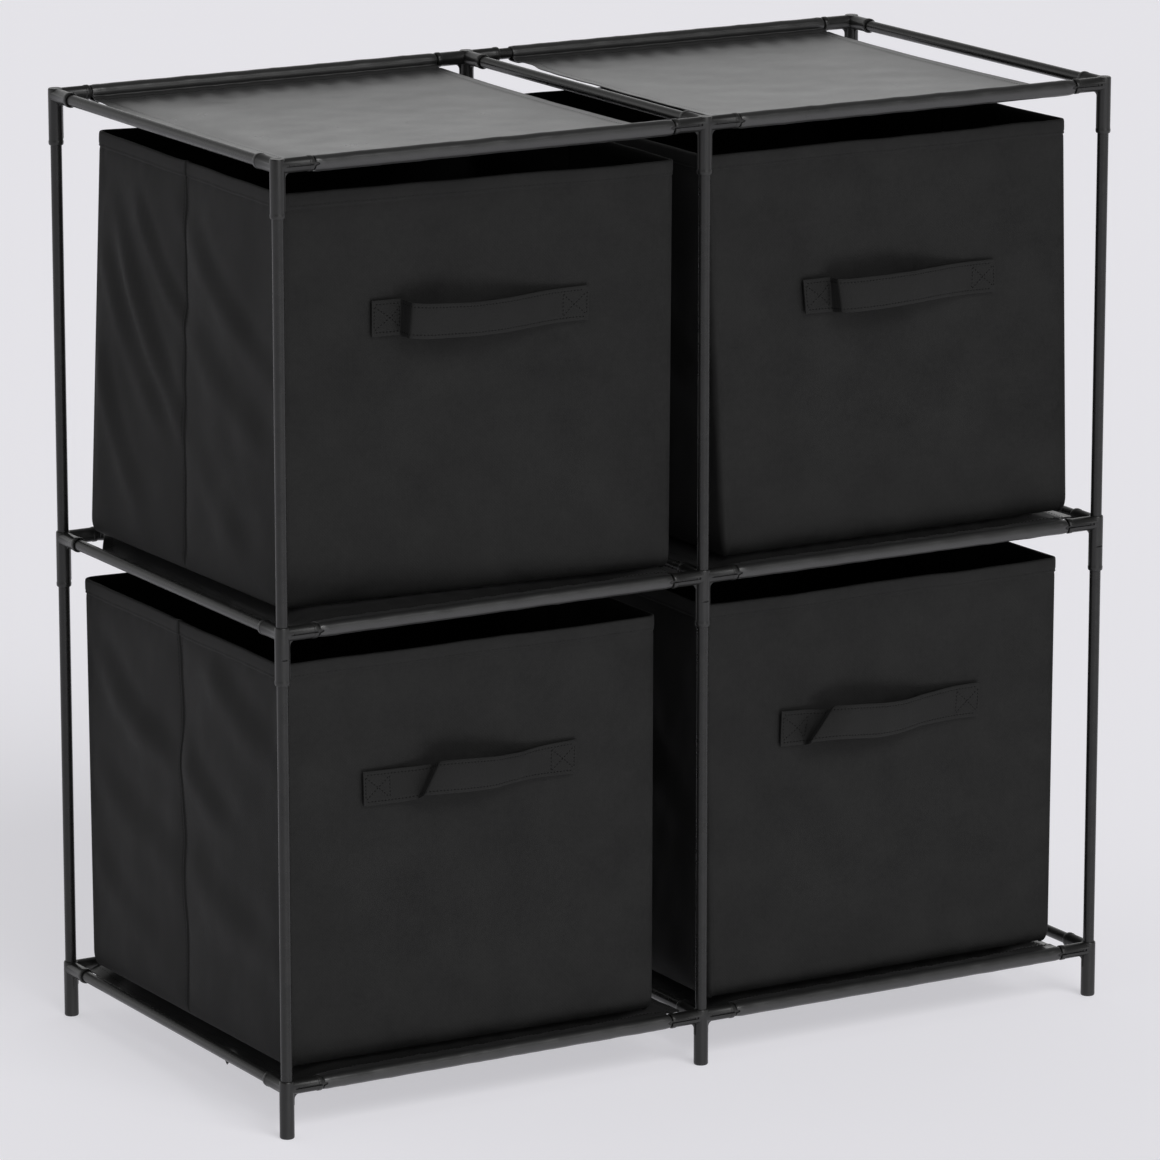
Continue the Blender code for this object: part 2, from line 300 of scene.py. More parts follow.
def lathe(profile, sides, loop=False):
    """Points and faces of a profile of (radius, height) turned about Z. A radius of 0 is a pole."""
    verts, rings = [], []
    for radius, height in profile:
        if radius == 0:
            rings.append([len(verts)])
            verts.append((0, 0, height))
            continue
        rings.append(list(range(len(verts), len(verts) + sides)))
        for k in range(sides):
            angle = 2 * math.pi * (k + 0.5) / sides
            verts.append((radius * math.cos(angle), radius * math.sin(angle), height))
    faces = []
    pairs = list(zip(rings, rings[1:]))
    if loop:
        pairs.append((rings[-1], rings[0]))
    for a, b in pairs:
        for k in range(sides):
            n = (k + 1) % sides
            quad = [a[k % len(a)], a[n % len(a)], b[n % len(b)], b[k % len(b)]]
            faces.append(list(dict.fromkeys(quad)))
    return verts, faces


def moved(verts, turn, place):
    return [turn @ Vector(v) + Vector(place) for v in verts]


def keep(piece, body, slot, *nodes):
    """A finished piece: what it rides on, a finish slot that is not used, and the CAD nodes it
    stands for.
    """
    if nodes:
        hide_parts(*nodes)
    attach(piece, body)
    return piece


# -------------------- steel tubes
def steel_tube(name, axis, low, length, node):
    rim = 0.18 * MM
    profile = [(TUBE_IN, rim), (TUBE_IN + rim, 0), (TUBE_R - rim, 0), (TUBE_R, rim)]
    profile += [(radius, length - z) for radius, z in reversed(profile)]
    verts, faces = lathe(profile, TUBE_SIDES, loop=True)
    piece = mesh_piece(name, moved(verts, turn_to(axis), low), faces, [STEEL], sharp=35)
    return keep(piece, "frame", "tube_steel", node)


for column in COLUMNS:
    for row in ROWS:
        node = f"post_{row}_{column}"
        low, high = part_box(node)
        spot = centre(node)
        ends = low.z, LEVEL_Z["mid"] - 0.3 * MM, LEVEL_Z["mid"] + 0.3 * MM, high.z
        for part, z0, z1 in (("lower", *ends[:2]), ("upper", *ends[2:])):
            steel_tube(f"{node}_{part}", "Z", (spot.x, spot.y, z0), z1 - z0, node)

for level in LEVELS:
    for row in ROWS:
        for bay in BAYS:
            node = f"rail_{row}_{bay}_{level}"
            low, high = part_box(node)
            start = (low.x, ROW_Y[row], LEVEL_Z[level])
            steel_tube(f"tube_{node}", "X", start, high.x - low.x, node)
    for column in COLUMNS:
        node = f"side_rail_{column}_{level}"
        low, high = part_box(node)
        start = (COLUMN_X[column], low.y, LEVEL_Z[level])
        steel_tube(f"tube_{node}", "Y", start, high.y - low.y, node)


# -------------------- plastic connectors
# Profiles of (radius, distance from the middle), in millimetres.
ARM_LENGTH = 25.0
ARM_PROFILE = [(0, 0), (4.9, 0), (4.9, 21.4), (5.0, 21.7), (5.2, 21.9), (5.27, 22.3)]
ARM_PROFILE += [(5.27, 24.2), (5.15, 24.7), (4.85, ARM_LENGTH), (0, ARM_LENGTH)]
TOP_OF_SLEEVE = [(4.95, -30.0), (4.95, 4.0), (4.8, 4.6), (4.4, 5.0), (0, 5.0)]
SLEEVE_PROFILE = [(0, -34.0), (4.5, -34.0), (4.82, -33.8), (5.0, -33.3), (5.15, -32.9)]
SLEEVE_PROFILE += [(5.18, -31.4), (4.98, -30.7), *TOP_OF_SLEEVE]
FOOT_PROFILE = [(0, -34.5), (4.0, -34.5), (4.55, -34.3), (4.9, -33.8), (5.0, -33.0), *TOP_OF_SLEEVE]
BORE_END = ARM_LENGTH + 0.6
BORE_PROFILE = [(0, 6.3), (3.6, 6.3), (4.2, 6.9), (4.2, 24.3), (4.45, BORE_END), (0, BORE_END)]
WELL_R = 4.2  # the upright bore
WELL_FROM = {"bottom": -22.0, "mid": -35.0, "top": -35.0}
WELL_TO = {"bottom": 5.6, "mid": 5.6, "top": 2.0}
RIB_LOW = {"bottom": -13.0, "mid": -30.5, "top": -30.5}  # foot of the gusset rib under an arm
RIB_THICK = 0.9
RIB_CORNER = 3.8
SPIN = {("X", 1): 0, ("X", -1): math.pi, ("Y", 1): math.pi / 2, ("Y", -1): -math.pi / 2}
SOLID_SIDES = 36


def scratch(verts, faces, group):
    mesh = bpy.data.meshes.new("scratch")
    mesh.from_pydata([tuple(v) for v in verts], [], [tuple(f) for f in faces])
    face_out(mesh)
    obj = bpy.data.objects.new("scratch", mesh)
    group.objects.link(obj)
    return obj


def plate(outline, thick, turn):
    """A flat plate from an outline in local XZ, thick along local Y."""
    verts = [(x, -thick / 2, z) for x, z in outline] + [(x, thick / 2, z) for x, z in outline]
    n = len(outline)
    faces = [list(range(n)), list(range(2 * n - 1, n - 1, -1))]
    faces += [[k, (k + 1) % n, n + (k + 1) % n, n + k] for k in range(n)]
    return moved(verts, turn, (0, 0, 0)), faces


def block(low, high):
    verts = list(itertools.product(*zip(low, high)))
    faces = [(0, 1, 3, 2), (4, 6, 7, 5), (0, 4, 5, 1), (2, 3, 7, 6), (0, 2, 6, 4), (1, 5, 7, 3)]
    return verts, faces


def boolean(obj, group, operation):
    mod = obj.modifiers.new("cut", "BOOLEAN")
    mod.operation = operation
    mod.solver = "EXACT"
    mod.operand_type = "COLLECTION"
    mod.collection = group
    graph = bpy.context.evaluated_depsgraph_get()
    baked = bpy.data.meshes.new_from_object(obj.evaluated_get(graph))
    obj.modifiers.clear()
    obj.data = baked


def rib_outline(foot):
    """The gusset rib below an arm: down the sleeve, with a hollow round corner."""
    hollow = []
    for turn in np.linspace(0, math.pi / 2, 7):
        hollow.append((5.6 + RIB_CORNER * (1 - math.cos(turn)), -8.5 + RIB_CORNER * math.sin(turn)))
    start = [(2.5, -3.0), (2.5, foot - 0.6), (4.4, foot - 0.6), (5.3, foot), (5.6, foot + 1.0)]
    return start + hollow + [(9.4, -3.0)]


def connector_mesh(arms, level):
    """A push-fit connector at the origin in millimetres, its front towards -Y."""
    base = bpy.data.collections.new("base")
    adds = bpy.data.collections.new("adds")
    cuts = bpy.data.collections.new("cuts")
    for group in (base, adds, cuts):
        bpy.context.scene.collection.children.link(group)
    sleeve = FOOT_PROFILE if level == "bottom" else SLEEVE_PROFILE
    body = scratch(*lathe(sleeve, SOLID_SIDES), base)
    for axis, sign in arms:
        for profile, group in ((ARM_PROFILE, adds), (BORE_PROFILE, cuts)):
            verts, faces = lathe(profile, SOLID_SIDES)
            scratch(moved(verts, turn_to(axis, sign), (0, 0, 0)), faces, group)
        spin = Matrix.Rotation(SPIN[axis, sign], 3, "Z")
        scratch(*plate(rib_outline(RIB_LOW[level]), RIB_THICK, spin), adds)
        if axis == "X":
            # The slit along the arm's front.
            low, high = sorted((sign * 4.4, sign * (ARM_LENGTH + 1.0)))
            scratch(*block((low, -5.6, -0.65), (high, -4.0, 0.85)), cuts)
    low, high = WELL_FROM[level], WELL_TO[level]
    scratch(*lathe(((0, low), (WELL_R, low), (WELL_R, high), (0, high)), SOLID_SIDES), cuts)
    if level == "mid":
        # A notch across the sleeve's front.
        scratch(*block((-3.3, -5.6, -16.9), (3.1, -4.0, -15.8)), cuts)
    if level == "top":
        # The parting mark on the closed top.
        scratch(*block((-3.1, -0.4, 4.5), (3.1, 0.4, 5.6)), cuts)
    boolean(body, adds, "UNION")
    boolean(body, cuts, "DIFFERENCE")
    mesh = body.data
    verts = np.zeros(len(mesh.vertices) * 3)
    mesh.vertices.foreach_get("co", verts)
    faces = [list(p.vertices) for p in mesh.polygons]
    for group in (base, adds, cuts):
        for obj in list(group.objects):
            bpy.data.objects.remove(obj)
        bpy.data.collections.remove(group)
    return verts.reshape(-1, 3) * MM, faces


for level in LEVELS:
    for middle in (False, True):
        arms = [("Y", 1), ("X", 1)] + ([("X", -1)] if middle else [])
        verts, faces = connector_mesh(arms, level)
        for column in COLUMNS:
            if (column == "middle") != middle:
                continue
            for row in ROWS:
                mirror_x = -1 if column == "right" else 1
                mirror_y = -1 if row == "back" else 1
                shift = np.array((COLUMN_X[column], ROW_Y[row], LEVEL_Z[level]))
                points = verts * (mirror_x, mirror_y, 1) + shift
                turned = [f[::-1] for f in faces] if mirror_x * mirror_y < 0 else faces
                node = f"connector_{row}_{column}_{level}"
                piece = mesh_piece(f"moulded_{node}", points, turned, [PLASTIC], sharp=32)
                keep(piece, "frame", "connector_plastic", node)


# -------------------- smooth random fields
def field(seed, x, y, size, octaves=3):
    """Smooth repeatable noise between about -1 and 1 at points x, y, with bumps of a given size."""
    rng = np.random.default_rng(seed)
    total = np.zeros(np.broadcast(x, y).shape)
    weight = 1.0
    for _ in range(octaves):
        for _ in range(5):
            angle, phase = rng.uniform(0, 2 * math.pi, 2)
            wave = 2 * math.pi / (size * rng.uniform(0.6, 1.5))
            reach = x * math.cos(angle) + y * math.sin(angle)
            total = total + weight * 0.32 * np.sin(wave * reach + phase)
        size *= 0.5
        weight *= 0.5
    return total


def bell(value, width):
    return np.exp(-((value / width) ** 2))


def step(value, low, high):
    t = np.clip((value - low) / (high - low), 0, 1)
    return t * t * (3 - 2 * t)


# -------------------- threads
STITCH_LONG = 2.1 * MM
STITCH_BELOW = 0.1 * MM  # how far a stitch's ends are in the cloth


def stitches(name, runs, body, slot, pitch=3.0 * MM, wide=0.30 * MM, tall=0.26 * MM):
    """Rows of sewn stitches. A run is a list of (point, normal) along a seam."""
    verts, faces = [], []
    for run in runs:
        pts = np.array([p for p, _ in run])
        nrm = np.array([n for _, n in run])
        gaps = np.linalg.norm(np.diff(pts, axis=0), axis=1)
        length = np.concatenate(([0], np.cumsum(gaps)))
        count = int(length[-1] / pitch)
        for k in range(count):
            at = [(k + 0.5) * pitch + side * STITCH_LONG / 2 for side in (-1, 0, 1)]
            a, m, b = (np.array([np.interp(s, length, pts[:, c]) for c in range(3)]) for s in at)
            n = np.array([np.interp(at[1], length, nrm[:, c]) for c in range(3)])
            n = n / np.linalg.norm(n)
            side = np.cross(b - a, n)
            side = side / np.linalg.norm(side) * wide
            start = len(verts)
            a, under, b = (point - n * STITCH_BELOW for point in (a, m, b))
            verts += [a, m + side, m + n * tall, m - side, under, b]
            for p, q in ((1, 2), (2, 3), (3, 4), (4, 1)):
                faces.append((start, start + p, start + q))
                faces.append((start + 5, start + q, start + p))
    piece = mesh_piece(name, verts, faces, [THREAD])
    return keep(piece, body, slot)


# -------------------- fabric decks
DECK_THICK = 0.7 * MM
SLEEVE_R = 4.55 * MM
SEAM = 8.6 * MM  # rail axis to the stitch line that closes a pocket
HEM_END = 11.0 * MM
HEM_ROWS = 5  # rows of cloth in a pocket's hem, and then round its tube
WRAP_ROWS = 26
SHEET_ROW = HEM_ROWS + WRAP_ROWS
SEAM_COLUMN = 5  # the column of cloth on the stitch line of a side hem
STITCH_LIFT = 0.38 * MM
SAG = {"top": 2.6 * MM, "mid": 1.3 * MM, "bottom": 1.1 * MM}
RIPPLE = {"top": 0.36 * MM, "mid": 0.3 * MM, "bottom": 0.3 * MM}
# The dip of the cloth between the front pocket and a box.
DITCH = 4.6 * MM
DITCH_Y = 17.0 * MM
DITCH_WIDTH = 6.5 * MM
# A loose tip of cloth under the left side of the lower left deck.
TIP_Y = 0.1065
TIP_LONG = 8.3 * MM


def deck_profile(depth, hem_under):
    """(y, z, outward y, outward z) along the cloth from one rail to the other, sheet below.

    The pocket's hem lies over the sheet, or under it.
    """
    low = -SLEEVE_R
    fold = DECK_THICK * 1.15
    front = []
    for t in np.linspace(0, 1, HEM_ROWS):
        y = HEM_END + (4.6 * MM - HEM_END) * t
        if hem_under:
            front.append((y, low - fold, 0, -1))
        else:
            front.append((y, low + fold + 0.5 * MM * t * t, 0, 1))
    turns = np.linspace(270, -32, WRAP_ROWS) if hem_under else np.linspace(-32, 270, WRAP_ROWS)
    for k, turn in enumerate(turns):
        out = (math.cos(math.radians(turn)), math.sin(math.radians(turn)))
        reach = SLEEVE_R + (fold * max(0, 1 - k / 5) if hem_under else 0)
        front.append((reach * out[0], reach * out[1], *out))
    spots = [4.6, 5.2, 6.0] if hem_under else [1.5, 3, 5]
    for spot in spots + [6.8, 7.8, 8.6, 9.4, 10.6, 12.5, 15, 18.5, 23, 28]:
        flare = 1.6 * (1 - float(step(spot, 4.0, 8.2))) if hem_under else 0
        front.append((spot * MM, low + flare * MM, 0, -1))
    middle = [(y, low, 0, -1) for y in np.linspace(33 * MM, depth - 33 * MM, 56)]
    back = [(depth - y, z, -oy, oz) for y, z, oy, oz in reversed(front)]
    return np.array(front + middle + back)


# The free side edges of each sheet, in millimetres: how far the left and the right one stand
# out past the pockets, how far they droop, and how far from the back rail this starts and is full.
FREE_EDGES = {
    ("left", "top"): (0, 0, 1.5, 0, 9, 30),
    ("right", "top"): (-6, -1, 0, 0, 9, 30),
    ("left", "mid"): (14.5, 14, 9.5, 2.0, 10, 36),
    ("right", "mid"): (14, 14.5, 7, 1.0, 9, 30),
    ("left", "bottom"): (16.2, 15.5, 10.0, 2.0, 6.5, 10.5),
    ("right", "bottom"): (15, -1, 9, 0, 9, 26),
}
FOLD_IN = 24.0 * MM  # how far in from its edge a free side bends down
LATE_POCKET = 9.0 * MM  # the upper right deck's rear pocket starts this far in


def sheet_lift(level, seed, x, y, wide, depth):
    """How far the sheet stands up from flat: its sag, ripples, puckers, seam lines and hems."""
    near = np.minimum(y, depth - y)
    ends = np.minimum(x, wide - x)
    across = y / depth
    bow = 4 * across * (1 - across) * (0.55 + 0.45 * np.sin(math.pi * x / wide))
    sag = SAG[level] * bow * (-1 if level == "top" else 1)
    ripple = RIPPLE[level] * field(seed, x, y, 0.11, 3) * step(near, 0.008, 0.05)
    waver = 2.2 * field(seed + 40, x, x * 0, 0.06, 1)
    pucker = 0.34 * MM * np.sin(2 * math.pi * x / 0.0088 + waver) * bell(near - 11.5 * MM, 5 * MM)
    turn = 2 * math.pi * x / 0.021 + near / 0.012 + seed
    pull = 0.45 * MM * np.sin(turn) * bell(near - 20 * MM, 16 * MM)
    calm = 0.25 + 0.75 * step(ends, 0, 0.05)
    dent = -0.32 * MM * bell(near - SEAM, 1.1 * MM)
    hem = 0.35 * MM * (1 - step(ends, 7.3 * MM, 8.2 * MM))
    hem = hem - 0.2 * MM * bell(ends - 7 * MM, 0.7 * MM)
    return sag + (ripple + pucker + pull) * calm + dent + hem


def deck_cloth(bay, level):
    """One deck: a sheet with side hems, and a sewn pocket round each of its two rails."""
    node = f"deck_{bay}_{level}"
    low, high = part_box(node)
    flip = 1 if level == "top" else -1
    seed = 10 * LEVELS.index(level) + BAYS.index(bay)
    depth = ROW_Y["back"] - ROW_Y["front"]
    wide = high.x - low.x
    path = deck_profile(depth, level == "top")
    count = len(path)
    edge = [v * MM for v in (0, 0.6, 1.4, 3, 5, 6.6, 7.6, 8.4, 10, 13)]
    cols = edge + list(np.linspace(16 * MM, wide - 16 * MM, 54))
    cols = np.array(cols + [wide - v for v in reversed(edge)])
    walked = np.concatenate(([0], np.cumsum(np.hypot(*np.diff(path[:, :2], axis=0).T))))
    x, y = np.meshgrid(cols, path[:, 0])
    z, oy, oz, along, row = (
        np.repeat(v[:, None], len(cols), axis=1) for v in (*path.T[1:], walked, np.arange(count))
    )
    from_end = np.minimum(row, count - 1 - row)
    on_sheet = from_end >= SHEET_ROW
    on_tube = (from_end >= HEM_ROWS) & ~on_sheet
    near = np.minimum(y, depth - y)
    across = y / depth
    ends = np.minimum(x, wide - x)

    z = z + np.where(on_sheet, sheet_lift(level, seed, x, y, wide, depth), 0)
    if level != "top":
        dip = DITCH * bell(y - DITCH_Y, DITCH_WIDTH) * (1 - step(x, wide - 0.05, wide - 0.015))
        z = z - flip * np.where(on_tube, 0, dip)
    twist = 0.22 * MM * (0.5 + 0.5 * field(seed + 60, x + along * 0.8, along, 0.028, 2))
    crease = 0.16 * MM * bell(np.sin(math.pi * (x + 0.9 * along) / 0.034 + seed), 0.22)
    gather = 0.35 * MM * bell(ends, 2.0 * MM)
    swell = np.where(on_tube, twist + crease - gather, 0)
    y = y + oy * swell
    z = z + oz * swell

    # The free side edges: out past the pockets, and down.
    out_l, out_r, droop_l, droop_r, start, full = (v * MM for v in FREE_EDGES[bay, level])
    free = step(y, 6.5 * MM, 11 * MM) * np.clip((depth - y - start) / (full - start), 0, 1)
    free = free * (1 + 0.10 * field(seed + 80, y, y * 0, 0.05, 2))
    on_left = (x < wide / 2) * (1 - step(x, 0, 0.055))
    on_right = (x >= wide / 2) * (1 - step(wide - x, 0, 0.055))
    droop = droop_l * (1 - step(x, 0, FOLD_IN)) + droop_r * (1 - step(wide - x, 0, FOLD_IN))
    droop = droop * (0.45 + 0.55 * step(depth - y, 12 * MM, 45 * MM))
    z = z - flip * droop * free
    if (bay, level) == ("left", "bottom"):
        z = z - flip * TIP_LONG * bell(y - TIP_Y, 5.0 * MM) * (1 - step(x, 0, 4.2 * MM))
    x = x + (on_right * out_r - on_left * out_l) * free

    # The waist of a stretched sheet, and a nick in the middle of each pocket's outer face.
    waist = 1.2 * MM * np.sin(math.pi * across) * step(near, 0.004, 0.03)
    nick = np.where(on_tube & (near < 0), np.clip(1 - np.abs(oz) / 0.3, 0, 1), 0)
    nick = 4.0 * MM * nick * (1 - step(ends, 0, 9 * MM))
    x = x + np.where(x < wide / 2, 1, -1) * (waist * (1 - step(ends, 0.0, 0.05)) + nick)
    if (bay, level) == ("right", "top"):
        x = x + on_left * LATE_POCKET * step(y, depth - 0.05, depth - 0.012)

    grid = np.stack((x + low.x, y + ROW_Y["front"], flip * z + LEVEL_Z[level]), axis=-1)
    uv = np.stack((x, along), axis=-1).reshape(-1, 2)
    faces = grid_faces(len(cols), count, flip=flip > 0)
    piece = mesh_piece(f"cloth_{node}", grid.reshape(-1, 3), faces, [DECK_CLOTH], uv=uv)
    shell = piece.modifiers.new("thickness", "SOLIDIFY")
    shell.thickness = DECK_THICK
    shell.offset = 0
    keep(piece, "frame", "deck_fabric", node)
    lines = [grid[r] for r in (SHEET_ROW + 5, count - SHEET_ROW - 6)]
    inner = grid[SHEET_ROW + 2 : count - SHEET_ROW - 2]
    lines += [inner[:, column] for column in (SEAM_COLUMN, -1 - SEAM_COLUMN)]
    runs = [
        [(point + (0, 0, side * STITCH_LIFT), (0, 0, side)) for point in line]
        for line in lines
        for side in (1, -1)
    ]
    seams = stitches(f"stitching_{node}", runs, "frame", "deck_fabric")


for level in LEVELS:
    for bay in BAYS:
        deck_cloth(bay, level)


# -------------------- fabric boxes
# All of a box's measures are in millimetres.
HEM = 10.0
CORNER = 6.0
WALLS = ("front", "right", "back", "left")
# Corner places in plan, front left, front right, back right, back left, at the underside and at
# the rim; then the folds of the left wall. A fold is its two ends, each as its distance from the
# wall's left edge, as seen from outside, and below the rim, then its height and its width.
BOXES = {
    "upper_left": {
        "foot": ((-301, -125), (-17.5, -148.5), (-12, 133), (-305, 151)),
        "rim": ((-297, -120.5), (-11, -141), (-8, 134), (-290, 158)),
        "left": ((33, 58, 129, 180, 1.9, 9), (18, 93, 106, 190, 1.5, 9),
                 (64, 40, 134, 111, 1.6, 7), (142, 48, 258, 127, 1.6, 10),
                 (144, 114, 262, 181, 1.3, 12), (8, 153, 70, 245, 1.4, 10),
                 (157, 198, 245, 263, 1.0, 12)),
    },
    "upper_right": {
        "foot": ((27, -143), (309, -143), (300, 139), (28, 139)),
        "rim": ((13.5, -138), (305.5, -137.5), (288, 140), (12, 141)),
        "left": ((40, 50, 120, 160, 1.2, 11), (150, 60, 250, 170, 1.3, 12)),
    },
    "lower_left": {
        "foot": ((-309, -142.5), (-30, -149), (-32, 131), (-311, 146)),
        "rim": ((-310.5, -139.5), (-28, -146.5), (-27, 133), (-311.5, 148)),
        "left": ((25, 57, 128, 106, 1.7, 12), (143, 92, 212, 137, 1.4, 12),
                 (182, 22, 271, 74, 1.5, 14), (20, 138, 128, 175, 1.2, 14),
                 (153, 171, 271, 211, 1.1, 14), (15, 200, 89, 236, 0.9, 12)),
    },
    "lower_right": {
        "foot": ((13.4, -148.5), (295, -150), (287, 130), (16, 139)),
        "rim": ((13.5, -139), (300.7, -143), (291.5, 129), (14, 138)),
        "left": ((30, 60, 120, 130, 1.2, 12), (160, 90, 250, 160, 1.1, 13)),
    },
}

HEM_SEAM = 1.4  # the stitch line above the hem's lower edge
SEAMED = ("right", "left")  # the walls with a seam down their middle
SEAM_FROM_ROW = 7  # the lowest row of points with stitches beside a seam
SIDE_TURN = 0.45  # how far a side wall turns under at its foot, where the front is 1
BOARD_INSET = 9.4
STRAP_HEIGHT = 86.0  # rim to the zero of the strap heights
STRAP_THICK = 1.5
STRAP_WIDE = 23.0
# The hollow behind each strap's loop: right of the front's middle, and below STRAP_HEIGHT.
DENTS = {
    "upper_left": (-22, 3),
    "upper_right": (-12, 16),
    "lower_left": (-8, 1),
    "lower_right": (-22, 5),
}


def wall_columns(length, seam):
    """Places along a wall, closer together at its seam and its edge creases."""
    near = [0.0, 1.2, 2.4, 3.0, 3.5, 4.0, 4.8, 6.5, 9]
    cols = near + list(np.linspace(12, length - 12, 46)) + [length - v for v in reversed(near)]
    if seam:
        for v in (0.25, 0.6, 1.0, 1.5, 2.2, 3.2, 4.5):
            cols += [length / 2 - v, length / 2 + v]
    return np.array(sorted(set(round(c, 3) for c in cols)))


def wall_rows(tall):
    """Rows from the underside up the outside, over the rim and down the inside.

    Each is a height, how far out of the wall it is, its share of the wall's relief, and whether
    it is on the inside.
    """
    hem = tall - HEM
    low_outside = [(0, -9.0, 0), (0.3, -6.8, 0.1), (0.9, -5.1, 0.15), (1.8, -3.6, 0.2)]
    low_outside += [(3.1, -2.3, 0.35), (4.8, -1.25, 0.5), (6.8, -0.55, 0.7), (9.0, -0.15, 0.85)]
    high_outside = [(hem - 1.6, -0.1), (hem - 0.5, -0.35), (hem, 0.25), (hem + 0.5, 0.55)]
    high_outside += [(hem + HEM_SEAM, 0.25), (hem + 2.6, 0.58), (tall - 5, 0.62), (tall - 2, 0.6)]
    high_outside += [(tall - 0.7, 0.42), (tall - 0.15, 0.0)]
    high_inside = [(tall, -0.7), (tall - 0.1, -1.7), (tall - 0.6, -2.6), (tall - 3, -2.9)]
    high_inside += [(hem, -2.85), (hem - 0.6, -2.5)]
    low_inside = [(9.5, -2.9, 0.8), (6.6, -4.0, 0.5), (4.6, -6.0, 0.3), (3.3, -9.0, 0.1)]
    rows = [(*row, False) for row in low_outside]
    rows += [(h, 0, 1, False) for h in np.linspace(11.5, hem - 4, 49)]
    rows += [(*row, 1, False) for row in high_outside]
    rows += [(*row, 1, True) for row in high_inside]
    rows += [(h, -2.5, 1, True) for h in np.linspace(hem - 12, 13, 22)]
    return rows + [(*row, True) for row in low_inside]


def relief(name, wall, a, b, length, tall):
    """Height in millimetres of a wall's soft surface, a along it and b below the rim."""
    seed = 100 * list(BOXES).index(name) + 1 + WALLS.index(wall)
    inside = step(a, 0, 16) * step(length - a, 0, 16)
    body = step(b, 9, 26) * step(tall - b, 1, 18)
    waver = 2 * field(seed + 7, a, a * 0, 60, 1)
    gathers = 0.22 * bell(b - 11.5, 5) * np.sin(2 * math.pi * a / 8.5 + waver) * inside
    uneven = 0.8 + 0.35 * field(seed + 3, a, a * 0, 110, 2)
    tuck = -2.2 * np.clip(1 - (tall - b) / 38, 0, 1) ** 2 * uneven
    if wall in ("front", "back"):
        high = 0.6 * field(seed, a, b, 150, 2) + 0.2 * field(seed + 9, a, b, 34, 2)
        high = high * inside * (0.35 + 0.65 * body) + tuck
        for side in (a, length - a):
            high = high - 1.3 * np.clip(1 - side / 34, 0, 1) ** 2 * body
            high = high - 0.38 * bell(side - 3.5, 0.7)
        if wall == "front":
            middle, level_of_strap = DENTS[name]
            reach = bell(a - length / 2 - middle, 46)
            high = high - 3.4 * reach * bell(b - STRAP_HEIGHT - level_of_strap, 21)
        return high + 0.7 * gathers
    high = 1.0 * field(seed, a, b, 120, 2) + 0.28 * field(seed + 9, a, b * 0.7 + a * 0.5, 40, 2)
    for half in (0, 1):
        high = high + 1.1 * np.sin(math.pi * np.clip(a / (length / 2) - half, 0, 1))
    folds = list(BOXES[name].get(wall, ()))
    depth_of_folds = 1.7 if name.startswith("lower") else 1.35
    if wall == "right":
        rng = np.random.default_rng(seed)
        for k in range(6):
            a0, b0 = rng.uniform(20, 200), rng.uniform(30, 190)
            a1, b1 = a0 + rng.uniform(50, 90), b0 + rng.uniform(-80, 80)
            folds.append((a0, b0, a1, b1, rng.uniform(0.9, 1.6), rng.uniform(8, 13)))
    for a0, b0, a1, b1, tall_fold, wide_fold in folds:
        run = np.array((a1 - a0, b1 - b0))
        size = np.hypot(*run)
        t = ((a - a0) * run[0] + (b - b0) * run[1]) / size**2
        away = ((a - a0) * run[1] - (b - b0) * run[0]) / size
        bend = away + 7 * np.sin(math.pi * np.clip(t, 0, 1)) - 3.5
        shape = bell(bend, wide_fold) - 0.6 * bell(bend - 1.6 * wide_fold, wide_fold * 0.9)
        fade = step(t, -0.25, 0.25) * (1 - step(t, 0.75, 1.25))
        high = high + depth_of_folds * tall_fold * shape * fade
    high = high * inside * body
    seam = a - length / 2
    high = high - 0.9 * bell(seam, 7) * body
    high = high + 0.95 * bell(seam, 0.55) - 0.3 * bell(np.abs(seam) - 1.6, 0.6)
    return high + gathers + 0.6 * tuck


def box_plan(name):
    """A box's lowest height, how tall it is, and its corners in plan at the foot and the rim."""
    low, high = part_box(f"box_{name}")
    foot, rim = (np.array(BOXES[name][key], float) for key in ("foot", "rim"))
    return low.z, (high.z - low.z) / MM, foot, rim


def lengths_of(plan):
    return np.linalg.norm(np.roll(plan, -1, axis=0) - plan, axis=1)


